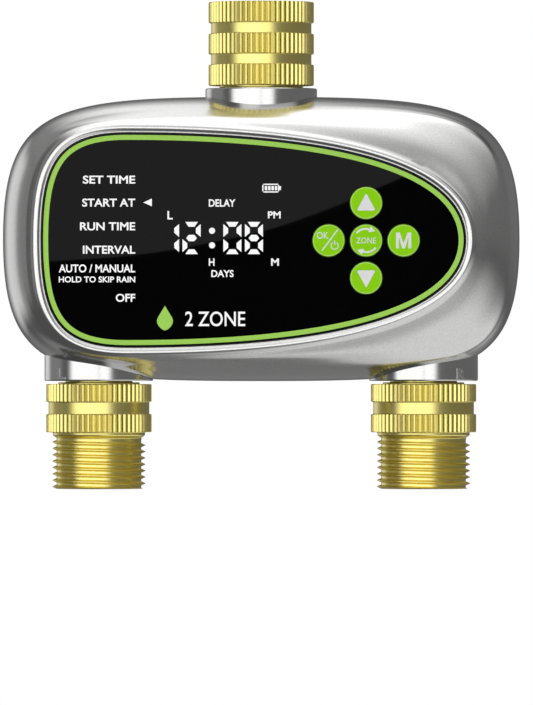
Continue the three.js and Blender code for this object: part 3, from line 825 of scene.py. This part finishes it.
def panel_print():
    front = LENS_FRONT - PRINT_DEPTH
    words = [letters(*row, front) for row in LEGENDS]
    words.append(sign([(-33.3, -57.4), (-30.9, -56.3), (-30.9, -58.5)], front))
    words.append(letters("2 ZONE", -21.5, -4.5, -92.4, -88.2, front, 0.008))
    piece(merged("panel_legends", words), "housing", "print_white")
    piece(drop_sign(front), "housing", "trim_green").name = "drop_sign"

    shown = [letters(*row, front) for row in DISPLAY_WORDS]
    for digit, left, right in DIGITS:
        shown += digit_signs(digit, left, right, front)
    for z in (-65.4, -69.5):
        shown.append(rod(0.87, front, front + PRINT_DEPTH, (-13.9, z), "Y", 24))
    shown += battery_sign(0.3, 5.6, -54.6, -52.1, front)
    piece(merged("display_signs", shown), "housing", "print_white")


def drop_sign(front):
    """A water drop: round below, with its tip left sharp."""
    tip, low, half, widest, steps = (-27.2, -86.6), -94.2, 2.8, -91.2, 8
    x = tip[0]
    drop = rounded([tip, (x + half, widest), (x, low), (x - half, widest)], 2.2, steps)
    drop[0:steps + 1] = [np.array(tip)]
    return sign(drop, front)


def battery_sign(left, right, bottom, top, front):
    """A battery symbol: outline, terminal and four bars."""
    line = 0.35
    end, waist = right - 0.5, (top + bottom) / 2
    bars = [
        ((left, end), (top - line, top)),
        ((left, end), (bottom, bottom + line)),
        ((left, left + line), (bottom, top)),
        ((end - line, end), (bottom, top)),
        ((end, right), (waist - 0.5, waist + 0.5)),
    ]
    for start in np.arange(4) * 0.95 + left + 0.7:
        bars.append(((start, start + 0.7), (bottom + 0.65, top - 0.65)))
    return [block(x, (front, front + PRINT_DEPTH), z) for x, z in bars]


def trim_line():
    """The printed line that follows the panel's edge."""
    outer, inner, back = -0.2, -1.6, LENS_FRONT
    rings = [
        ring(PANEL, outer, back), ring(PANEL, outer, back - PRINT_DEPTH),
        ring(PANEL, inner, back - PRINT_DEPTH), ring(PANEL, inner, back),
    ]
    piece(loft("trim_line", rings, wrap=True), "housing", "trim_green")


# ---------------- front panel

def lens():
    """The panel, with a rounded edge and a hole for each key."""
    side, edge = 0.6, 0.35
    rings = [ring(PANEL, side, LENS_BACK)]
    for inset, rise in quarter_round(edge):
        rings.append(ring(PANEL, side - inset, LENS_FRONT + edge - rise))
    made = loft("front_lens", rings)
    holes = [rod(KEY_RADIUS + 0.25, -27, -22, face_place(f"button_{key}"), "Y", 96)
             for key in KEYS]
    combine(made, "DIFFERENCE", holes)
    piece(made, "housing", "panel_black", ["panel_lens"])


def key_cap(key):
    """A cap with a flange behind the lens and a stem that reaches the key mat."""
    low, high = box_mm(f"button_{key}")
    front, end = low[1], high[1]
    seat, flange, stem = LENS_BACK + 0.3, 5.1, 1.5
    profile = [
        (0.05, front), (KEY_RADIUS - 0.35, front), (KEY_RADIUS, front + 0.2), (KEY_RADIUS, seat),
        (flange, seat), (flange, seat + 0.8), (stem, seat + 0.8), (stem, end), (0.05, end),
    ]
    made = turned(f"key_{key}_cap", profile, face_place(f"button_{key}"), "Y", soft=0.1)
    piece(made, f"key_{key}", "key_green", [f"button_{key}"])


def triangle(x, z, way):
    """A triangle that points up (way 1) or down (way -1)."""
    half, base = 2.65, z - 2.15 * way
    return rounded([(x, z + 2.8 * way), (x - half, base), (x + half, base)], 0.5)


def ok_signs(x, z, front):
    """OK, a slash, and a power ring."""
    start, end = np.array([x + 2.55, z + 3.0]), np.array([x - 1.9, z - 2.9])
    along = (start - end) / np.linalg.norm(start - end)
    across = np.array([along[1], -along[0]]) * 0.17
    slash = [start + across, end + across, end - across, start - across]
    centre = (x + 1.7, z - 1.45)
    return [
        letters("OK", x - 3.35, x - 0.05, z + 0.45, z + 2.4, front, 0.006),
        sign(slash, front),
        sign(arc_band(centre, 0.88, 1.14, 125, 415), front),
        block((centre[0] - 0.15, centre[0] + 0.15), (front, front + PRINT_DEPTH),
              (centre[1] + 0.2, centre[1] + 1.5)),
    ]


def letter_m(x, z):
    """A plain capital M: its right half, and the left one that mirrors it."""
    right = [
        (0, -0.9), (1.1, 2.25), (2.15, 2.25), (2.15, -2.25),
        (1.35, -2.25), (1.35, 1.0), (0.4, -2.25),
    ]
    left = [(-across, up) for across, up in right[:0:-1]]
    return [(x + across, z + up) for across, up in right + left]


def turning_arrow(x, z, side):
    """A curved arrow over the middle of a key (side 1), or under it (side -1)."""
    centre = (x - 0.2 * side, z + 0.2 * side)
    turn = 0 if side > 0 else 180
    tail, neck, tip = 143 + turn, 69 + turn, 41 + turn
    head = []
    for radius, place in ((4.1, neck), (3.7, tip), (2.3, neck)):
        head += arc_points(centre, radius, place, place, 1)
    return arc_points(centre, 3.35, tail, neck) + head + arc_points(centre, 2.82, neck, tail)


def key_signs():
    front = box_mm("button_up")[0][1] - PRINT_DEPTH
    centre = {key: face_place(f"button_{key}") for key in KEYS}
    x, z = centre["zone"]
    signs = {
        "up": [sign(triangle(*centre["up"], 1), front)],
        "down": [sign(triangle(*centre["down"], -1), front)],
        "ok": ok_signs(*centre["ok"], front),
        "zone": [
            letters("ZONE", x - 2.75, x + 2.75, z - 0.85, z + 0.85, front, 0.0),
            sign(turning_arrow(x, z, 1), front),
            sign(turning_arrow(x, z, -1), front),
        ],
        "manual": [sign(letter_m(*centre["manual"]), front)],
    }
    for key, parts in signs.items():
        piece(merged(f"key_{key}_sign", parts), f"key_{key}", "print_grey")


# ---------------- brass fittings

def knurled(name, profile, x, soft):
    """A turned part whose outside is cut to straight teeth with sloping flanks."""
    root = KNURL_RADIUS - KNURL_DEPTH
    flank = KNURL_RADIUS - KNURL_DEPTH / 2
    tooth = [flank, KNURL_RADIUS, KNURL_RADIUS, flank, root, root]
    sides = len(tooth) * KNURL_TEETH
    limit = np.tile(tooth, KNURL_TEETH)
    return turned(name, profile, (x, 0), "Z", sides, True, limit, soft, steps=3)


def helical_ridge(root, crest, top, bottom, centre_x=0.0):
    """A screw thread as one closed ridge with tapered ends."""
    sides, taper, flat = 64, 10, 0.09
    turns = (top - bottom) / THREAD_PITCH
    steps = int(turns * sides)
    half = THREAD_PITCH * 0.36
    rings = []
    for i in range(steps + 1):
        angle = 2 * math.pi * i / sides
        height = top - THREAD_PITCH * i / sides
        fade = min(1.0, (i + 1) / taper, (steps + 1 - i) / taper)
        peak = root + (crest - root) * fade
        section = [(root, half), (peak, flat), (peak, -flat), (root, -half)]
        rings.append(np.array([
            (centre_x + r * math.cos(angle), r * math.sin(angle), height + z) for r, z in section
        ]))
    return loft("ridge", rings)


def inlet_nut():
    r, g = KNURL_RADIUS, GROOVE_RADIUS
    bore = THREAD_MAJOR + 0.02
    a, b, c, d = NUT_GROOVES
    profile = [
        (13.5, 0), (r, 0), (r, a), (g, a), (g, b), (r, b), (r, c), (g, c), (g, d), (r, d),
        (r, -23.8), (12, -23.8), (12, NUT_END), (10.9, NUT_END), (10.9, -20), (13.2, -20),
        (13.2, -13), (bore, -12.8), (bore, -0.6),
    ]
    made = knurled("knurled_nut", profile, 0, 0.35)
    combine(made, "UNION", [helical_ridge(bore + 0.1, THREAD_MINOR + 0.1, -2.0, -11.6)])
    piece(made, "swivel_nut", "brass", ["inlet_nut"], crease=28)


def outlet_adapter(side, x):
    r, g = KNURL_RADIUS, GROOVE_RADIUS + 0.05
    a, b = OUTLET_GROOVE
    minor, chamfer = THREAD_MINOR, 0.35
    profile = [
        (6.5, -98.3), (9.5, -98.3), (9.5, -108.3), (11.6, -108.3), (11.6, -108.8), (r, -108.8),
        (r, a), (g, a), (g, b), (r, b), (r, -122.5), (13.15, -122.5), (13.15, -123.4),
        (minor, -124.1), (minor, OUTLET_END + chamfer), (minor - chamfer, OUTLET_END),
        (9, OUTLET_END), (9, -112), (6.5, -110),
    ]
    made = knurled(f"outlet_fitting_{side}", profile, x, 0.3)
    thread = helical_ridge(minor - 0.1, THREAD_MAJOR, -124.4, OUTLET_END - 0.9, x)
    room = turned("room", [(14, -122), (14, OUTLET_END + 0.9), (12.3, OUTLET_END)], (x, 0))
    combine(thread, "INTERSECT", [room])
    combine(made, "UNION", [thread])
    piece(made, "housing", "brass", [f"outlet_adapter_{side}"], crease=28)


def tailpiece():
    """A flanged tube with a groove for its O-ring."""
    profile = [
        (8, -36.5), (10.5, -36.5), (10.5, -33.4), (9.4, -33.4), (9.4, -31.6), (10.5, -31.6),
        (10.5, -19.6), (12.7, -19.6), (12.7, -16.3), (8, -16.3),
    ]
    made = turned("tail_fitting", profile, closed=True, soft=0.25, steps=2)
    piece(made, "housing", "brass", ["inlet_tailpiece"])


def washer():
    """A flat ring with four tabs that hold it in the nut."""
    profile = [(8.5, -16), (12.7, -16), (12.7, -13.3), (8.5, -13.3)]
    made = turned("washer_ring", profile, closed=True, soft=0.35)
    tabs = []
    for angle in (0.4, 1.97, 3.54, 5.11):
        tab = block((12, 12.98), (-0.8, 0.8), (-15.4, -14))
        tab.data.transform(Matrix.Rotation(angle, 4, "Z"))
        tabs.append(tab)
    combine(made, "UNION", tabs)
    piece(made, "swivel_nut", "black_rubber", ["filter_washer"])


def wire_dome():
    """Two crossing sets of bent wires, each passing over and under the other."""
    radius, height, base, pitch, wire = 8.0, 6.1, -13.3, 0.66, 0.13
    wires = []
    reach = int(radius / pitch)
    for direction in (0, 1):
        for i in range(-reach, reach + 1):
            offset = i * pitch
            half = math.sqrt(max(radius**2 - offset**2, 0.01))
            along = np.linspace(-half, half, max(6, int(2 * half / pitch * 2)))
            weave = 0.12 * np.cos(math.pi * along / pitch + math.pi * (i + direction))
            distance = np.clip((along**2 + offset**2) / radius**2, 0, 1)
            up = base + height * np.sqrt(1 - distance) + weave
            across = np.full(len(along), offset)
            columns = (along, across, up) if direction == 0 else (across, along, up)
            wires.append(swept("wire", np.stack(columns, axis=1), wire, 5))
    rim_profile = [(7.7, -15.6), (8.2, -15.6), (8.2, -13.0), (7.7, -13.0)]
    rim = turned("rim", rim_profile, closed=True, soft=0.1)
    made = merged("wire_dome", [rim, *wires])
    piece(made, "swivel_nut", "mesh_steel", ["filter_mesh"], crease=60)


# ---------------- back of the case

def screw_recess(x, z, y, size, depth):
    """Two crossing blocks that cut a cross recess."""
    half = size / 2
    thin = size / 5
    return [
        block((x - half, x + half), (y - depth, y + 1), (z - thin / 2, z + thin / 2)),
        block((x - thin / 2, x + thin / 2), (y - depth, y + 1), (z - half, z + half)),
    ]


def case_screws():
    for name in CASE_SCREWS:
        node = f"housing_screw_{name}"
        low, high = box_mm(node)
        x, z = face_place(node)
        top, seat, shank, head = high[1], 8.8, 1.3, 2.6
        profile = [
            (0.1, low[1]), (shank, low[1] + 1), (shank, seat), (head, seat),
            (head, top - 0.5), (head - 1, top), (0.1, top),
        ]
        made = turned(f"case_screw_{name}", profile, (x, z), "Y", 48, soft=0.25)
        combine(made, "DIFFERENCE", screw_recess(x, z, top, 2.6, 1.0))
        piece(made, "housing", "screw_steel", [node])


def battery_door():
    edge = 0.7
    half, low, high = DOOR_HALF, DOOR_LOW[2], DOOR_TOP
    rings = [level(rectangle(half, low, high, 3), DOOR_INNER)]
    for inset, rise in quarter_round(edge):
        rim = rectangle(half - inset, low + inset, high - inset, 3)
        rings.append(level(rim, BACK - edge + rise))
    made = loft("rear_door", rings)
    web = block((-HINGE_HALF, HINGE_HALF), (DOOR_INNER, BACK), (DOOR_TOP - 4, HINGE_Z))
    knuckle = rod(HINGE_KNUCKLE, -HINGE_HALF, HINGE_HALF, (HINGE_Y, HINGE_Z), "X")
    combine(made, "UNION", [web, knuckle])
    grips = []
    for z in (-97.6, -95.6, -93.6):
        for x in (-16, 16):
            bar = rectangle(7, z - 0.45, z + 0.45, 0.4, 4) + (x, 0)
            grips.append(plate("grip", bar, BACK - 0.6, BACK + 1))
    cuts = [
        rod(PIN_RADIUS, -HINGE_HALF - 1, HINGE_HALF + 1, (HINGE_Y, HINGE_Z), "X"),
        rod(3.9, 29.4, BEHIND, (0, DOOR_SCREW_Z), "Y", 64),
        rod(2.2, 28, BEHIND, (0, DOOR_SCREW_Z), "Y", 48),
    ]
    combine(made, "DIFFERENCE", cuts + grips)
    piece(made, "door", "silver_shell", ["battery_door"])


def door_screw():
    tip, seat, shank, head = 22.5, 29.7, 1.9, 3.6
    profile = [(0.1, tip), (shank, tip), (shank, seat), (head, seat), (head, BACK), (0.1, BACK)]
    made = turned("door_lock_screw", profile, (0, DOOR_SCREW_Z), "Y", 64, soft=0.35)
    slot = block((-4, 4), (30.2, BEHIND), (DOOR_SCREW_Z - 0.5, DOOR_SCREW_Z + 0.5))
    combine(made, "DIFFERENCE", [slot])
    piece(made, "door_screw", "screw_steel", ["battery_door_screw"])


def cells():
    """AA cells: a printed jacket, with bare metal at both ends."""
    for number in (1, 2, 3, 4):
        node = f"battery_{number}"
        low, high = box_mm(node)
        x, y = middle(node)[:2]
        radius = (high[0] - low[0]) / 2
        bare = radius - 0.15
        way = 1 if number % 2 == 1 else -1
        base, tip = (low[2], high[2])[::way]
        can = [
            (0.1, base), (6.2, base), (6.2, base + 0.35 * way), (bare, base + 0.5 * way),
            (bare, tip - 1.3 * way), (2.75, tip - 1.2 * way), (2.75, tip), (0.1, tip),
        ]
        made = turned(f"cell_{number}_can", can, (x, y), sides=64, soft=0.3)
        piece(made, "housing", "contact_nickel", [node])
        start, end = base + 0.8 * way, tip - 1.5 * way
        inside = bare + 0.01
        jacket = [(inside, start), (radius, start), (radius, end), (inside, end)]
        wrap = turned(f"cell_{number}_jacket", jacket, (x, y), sides=64, closed=True,
                      soft=0.05, steps=2)
        piece(wrap, "housing", "cell_jacket")


# ---------------- working parts inside

def return_springs():
    turns, wire, reach, steps = 4, 0.35, 2.7, 128
    for side in ("left", "right"):
        node = f"plunger_spring_{side}"
        low, high = box_mm(node)
        x = middle(f"plunger_{side}")[0]
        share = np.linspace(0, 1, steps + 1)
        angle = 2 * math.pi * turns * share
        height = low[2] + wire + (high[2] - low[2] - 2 * wire) * share
        path = np.stack([x + reach * np.cos(angle), reach * np.sin(angle), height], axis=1)
        made = swept(f"return_spring_{side}", path, wire, 8)
        piece(made, "housing", "screw_steel", [node])
        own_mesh(made)


def diaphragms():
    for side in ("left", "right"):
        node = f"diaphragm_{side}"
        x = middle(node)[0]
        profile = [
            (2.4, -83.1), (9.8, -83.1), (12.2, -80.7), (13.8, -80.7),
            (13.8, -79.2), (11.8, -79.2), (9.4, -81.6), (2.4, -81.6),
        ]
        made = turned(f"valve_diaphragm_{side}", profile, (x, 0), closed=True, soft=0.3)
        piece(made, "housing", "black_rubber", [node])
        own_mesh(made)


def neck_letters():
    """A raised L and R on the outer fronts of the outlet necks."""
    width, bottom, height, thick, sunk = 3.3, -107.4, 3.1, 0.3, 0.08
    for text, side in (("L", -1), ("R", 1)):
        points, faces = text_shape(text, 0.03)
        across = (points[:, 0] - 0.5) * width
        turn = math.radians(43) * side + across / OUTLET_NECK_RADIUS
        reach = OUTLET_NECK_RADIUS - sunk + thick * points[:, 2]
        made = mesh_object(f"neck_letter_{text}", np.stack([
            OUTLET_X * side + reach * np.sin(turn),
            -reach * np.cos(turn),
            bottom + height * points[:, 1],
        ], axis=1), faces)
        piece(made, "housing", "silver_shell", look="letter_silver")


# ---------------- studio

CAMERA_PLACE = (0.0015, -3.0, -0.0998)
FRAME_HEIGHT = 0.2009
SENSOR = 36.0


def camera():
    data = bpy.data.cameras.new("camera")
    data.sensor_width = SENSOR
    data.lens = SENSOR * -CAMERA_PLACE[1] / FRAME_HEIGHT
    made = add_object("camera", data)
    made.location = CAMERA_PLACE
    made.rotation_euler = (math.pi / 2, 0, 0)
    bpy.context.scene.camera = made


def glow(name, strength):
    material = bpy.data.materials.new(name)
    graph = Graph(material)
    graph.nodes.clear()
    emission = graph.add("Emission", Strength=strength)
    graph.add("OutputMaterial", Surface=emission.outputs[0])
    return material


def card(name, corners, y, strength):
    """A flat reflector behind the camera that only reflections see."""
    mesh = bpy.data.meshes.new(name)
    points = [(x * MM, y * MM, z * MM) for x, z in corners]
    mesh.from_pydata(points, [], [tuple(range(len(points)))])
    made = add_object(name, mesh)
    mesh.materials.append(glow(name, strength))
    made.visible_camera = made.visible_shadow = made.visible_diffuse = False


def mirrored(x, z, card_y):
    """The point of a card that the camera sees mirrored at a point of the flat panel."""
    camera_x, camera_y, camera_z = (value / MM for value in CAMERA_PLACE)
    ratio = (LENS_FRONT - card_y) / (LENS_FRONT - camera_y)
    return x + (x - camera_x) * ratio, z + (z - camera_z) * ratio


def panel_reflections():
    """What the flat panel mirrors: darkness, with a dim card above a rising, curved edge."""
    left, right, low, high = -64, 60, -101, -35
    edge = rounded([(left, -74.3), (-32, -72.3), (2, -65.4), (22, -58.2), (right, -41)], 14, 6, False)
    for name, points, y, strength in (
        ("dark_card", [(left, low), (right, low), (right, high), (left, high)], -3060, 0.0),
        ("dim_card", [*edge, (right, high), (left, high)], -3050, 0.34),
    ):
        card(name, [mirrored(*point, y) for point in points], y, strength)


def studio_floor():
    made = turned("floor", [(1400, -352), (1400, -350)], sides=96)
    look = Look("floor_paper", (0.93, 0.93, 0.93), Roughness=0.7, Emission_Strength=0.16)
    look.vary_colour(look.noise(30), 0.98, 1.0)
    made.data.materials.append(look.material)
    made.visible_glossy = False


class WorldLight(Graph):
    """Soft patches of light on the sky sphere, placed by angle from the front."""

    def __init__(self):
        world = bpy.data.worlds.new("studio")
        super().__init__(world)
        bpy.context.scene.world = world
        self.nodes.clear()
        x, y, z = self.split(self.add("TexCoord").outputs["Generated"])
        to_degrees = 180 / math.pi
        turn = self.math("ARCTAN2", x, self.math("MULTIPLY", y, -1))
        self.azimuth = self.math("MULTIPLY", turn, to_degrees)
        self.elevation = self.math("MULTIPLY", self.math("ARCSINE", z), to_degrees)

    def window(self, value, low, high, soft):
        """1 between low and high, falling to 0 outside over the soft width."""
        rise = self.mapped(value, 0, 1, low - soft / 2, low + soft / 2, "SMOOTHSTEP")
        fall = self.mapped(value, 1, 0, high - soft / 2, high + soft / 2, "SMOOTHSTEP")
        return self.math("MULTIPLY", rise, fall)

    def patch(self, azimuths, elevations, strength, soft):
        across = self.window(self.azimuth, *azimuths, soft[0])
        up = self.window(self.elevation, *elevations, soft[1])
        return self.math("MULTIPLY", self.math("MULTIPLY", across, up), strength)


SKY_PATCHES = [
    # azimuths, elevations, strength, softness of the two
    ((-62, 26), (-14, 20), 1.95, (12, 10)),
    ((-44, -2), (10, 62), 1.6, (10, 14)),
    ((-300, 300), (62, 100), 2.2, (10, 28)),
    ((-8, 76), (36, 100), 1.5, (24, 70)),
    ((-300, -160), (31, 100), 1.6, (30, 34)),
    ((160, 300), (40, 100), 1.6, (40, 40)),
    ((-157, -127), (-15, 19), 1.0, (20, 12)),
    ((-124, -84), (-14, 30), 0.21, (16, 12)),
    ((-170, -80), (20, 66), 0.24, (30, 20)),
    ((9, 158), (-90, -20), 1.08, (22, 30)),
    ((26, 164), (-4, 30), 0.1, (14, 14)),
    ((-300, -150), (-80, -12), 0.16, (20, 14)),
    ((150, 300), (-80, -12), 0.16, (20, 14)),
]
SKY_BASE = 0.13


def studio_light():
    """A white backdrop for the camera. Elsewhere the brightest patch of the sky counts."""
    sky = WorldLight()
    total = sky.patch(*SKY_PATCHES[0])
    for entry in SKY_PATCHES[1:]:
        total = sky.math("MAXIMUM", total, sky.patch(*entry))
    total = sky.math("ADD", total, SKY_BASE)
    lit = sky.add("Background", Strength=total)
    white = sky.add("Background", Color=(1, 1, 1, 1))
    choice = sky.add("MixShader")
    sources = (sky.add("LightPath").outputs["Is Camera Ray"], lit.outputs[0], white.outputs[0])
    for source, socket in zip(sources, choice.inputs):
        sky.put(source, socket)
    sky.add("OutputWorld", Surface=choice.outputs[0])
    bpy.context.scene.view_settings.view_transform = "Standard"


# ---------------- assembly

camera()
studio_light()
studio_floor()
panel_reflections()

finish_cad_nodes()
front_case()
rear_case()
lens()
trim_line()
panel_print()
for name in KEYS:
    key_cap(name)
key_signs()
inlet_nut()
for name, place in OUTLETS.items():
    outlet_adapter(name, place)
tailpiece()
washer()
wire_dome()
neck_letters()
case_screws()
battery_door()
door_screw()
cells()
return_springs()
diaphragms()

bpy.context.view_layer.update()
